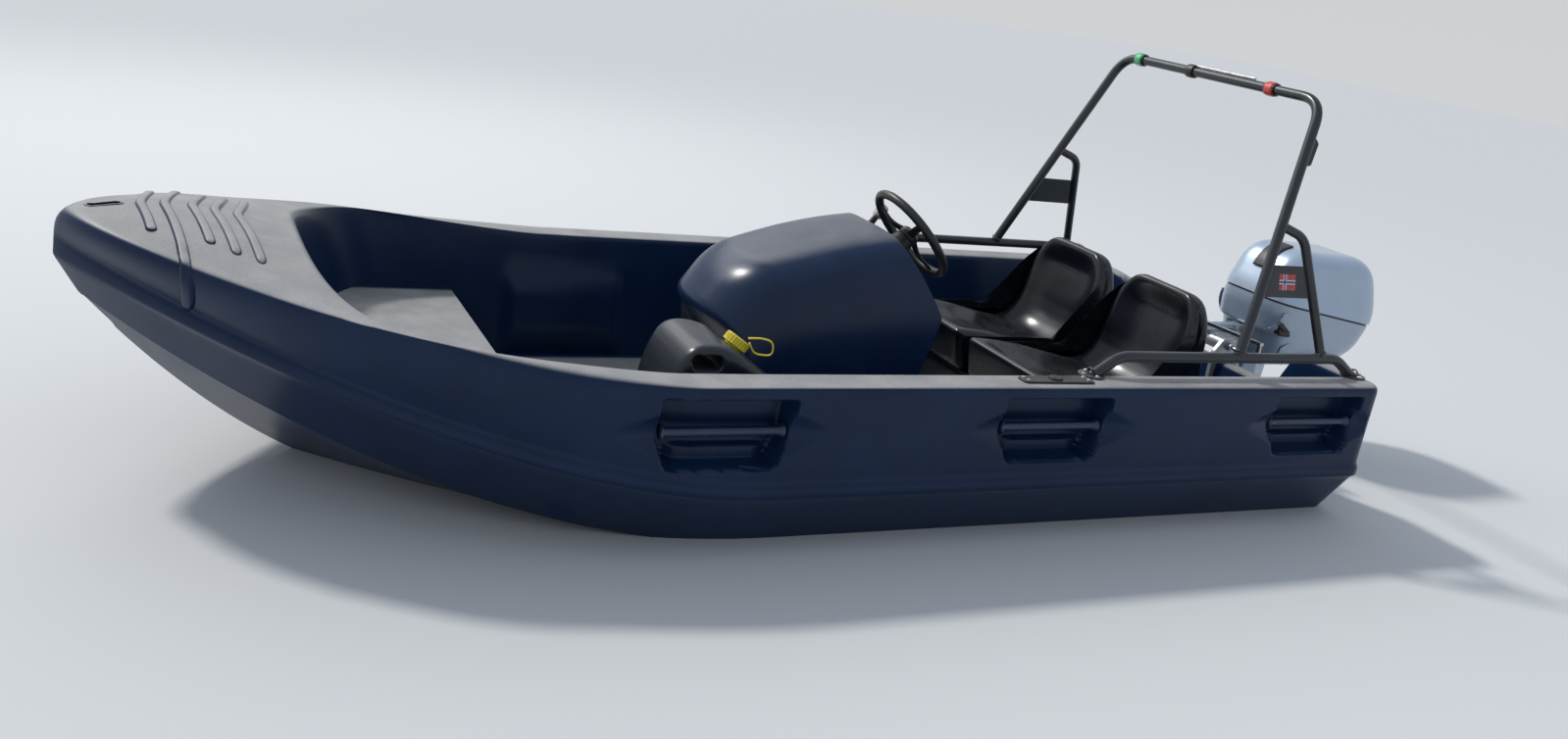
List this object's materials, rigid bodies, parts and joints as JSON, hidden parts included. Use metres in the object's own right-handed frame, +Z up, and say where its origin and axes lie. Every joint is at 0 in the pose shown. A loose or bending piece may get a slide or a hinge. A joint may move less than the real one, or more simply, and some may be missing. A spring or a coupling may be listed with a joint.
{
  "type": "rib-style moulded motor boat",
  "caption": "Open moulded-plastic motor boat with a steering console, bucket seats, a tubular arch and a tilting outboard, afloat.",
  "frame": {"origin": "on the waterline amidships, on the centreline, with the boat level", "axes": "+X forward to the bow, +Y to port, +Z up"},
  "size_m": [4.1975, 1.46, 1.7088],
  "materials": {
    "hull_plastic": "satin",
    "tube_paint": "satin",
    "lamp_red": "gloss",
    "lamp_green": "gloss",
    "yellow_plastic": "satin",
    "engine_block": "matte",
    "blade_black": "satin",
    "panel_black": "matte",
    "wheel_black": "satin",
    "fitting_black": "matte",
    "seat_plastic": "satin",
    "tank_plastic": "satin",
    "cowl_silver": "gloss",
    "leg_silver": "gloss",
    "bracket_grey": "satin",
    "steel_bright": "satin"
  },
  "bodies": {
    "boat": {"arch_brace_port": "tube_paint", "arch_brace_starboard": "tube_paint", "arch_gusset_port": "tube_paint", "arch_gusset_starboard": "tube_paint", "arch_hoop": "tube_paint", "arch_rail_port": "tube_paint", "arch_rail_starboard": "tube_paint", "clamp_bracket": "bracket_grey", "console": "hull_plastic", "dash_panel": "panel_black", "fuel_cap": "yellow_plastic", "fuel_tank": "tank_plastic", "grab_bar_port_aft": "tube_paint", "grab_bar_port_fore": "tube_paint", "grab_bar_port_mid": "tube_paint", "grab_bar_starboard_aft": "tube_paint", "grab_bar_starboard_fore": "tube_paint", "grab_bar_starboard_mid": "tube_paint", "helm_boss": "fitting_black", "hull": "hull_plastic", "light_pole": "steel_bright", "nav_light_green": "lamp_green", "nav_light_red": "lamp_red", "pole_bracket": "fitting_black", "rowlock_pad_port": "fitting_black", "rowlock_pad_starboard": "fitting_black", "seat_box": "seat_plastic", "seat_port": "seat_plastic", "seat_starboard": "seat_plastic", "throttle_box": "fitting_black", "transom_plate": "fitting_black"},
    "wheel": {"steering_wheel": "wheel_black"},
    "tilting": {"swivel_bracket": "bracket_grey"},
    "engine": {"engine_leg": "leg_silver", "gearcase": "leg_silver", "cowl_upper": "cowl_silver", "cowl_lower": "leg_silver", "powerhead": "engine_block"},
    "prop": {"propeller": "blade_black"},
    "ram": {"steering_ram": "steel_bright", "drag_link": "steel_bright"}
  },
  "joints": [
    {"name": "outboard_tilt", "type": "hinge", "parent": "boat", "child": "tilting", "pos_m": [-1.752, 0, 0.35], "axis": [0, 1, 0], "range_deg": [0, 65]},
    {"name": "outboard_steer", "type": "hinge", "parent": "tilting", "child": "engine", "pos_m": [-1.872, 0, 0.2], "axis": [0, 0, 1], "range_deg": [-30, 30]},
    {"name": "propeller_turn", "type": "hinge", "parent": "engine", "child": "prop", "pos_m": [-2.15, 0, -0.3], "axis": [1, 0, 0], "continuous": true},
    {"name": "steering_ram_slide", "type": "slide", "parent": "tilting", "child": "ram", "axis": [0, 1, 0], "range_m": [-0.078, 0.078]},
    {"name": "steering_wheel_turn", "type": "hinge", "parent": "boat", "child": "wheel", "pos_m": [-0.50874, -0.03, 0.64344], "axis": [-0.7623, 0, 0.6472], "range_deg": [-455, 455]}
  ],
  "couplings": [
    {"joint": "steering_ram_slide", "follows": "outboard_steer", "m_per_rad": 0.143},
    {"joint": "steering_wheel_turn", "follows": "outboard_steer", "ratio": -15}
  ]
}
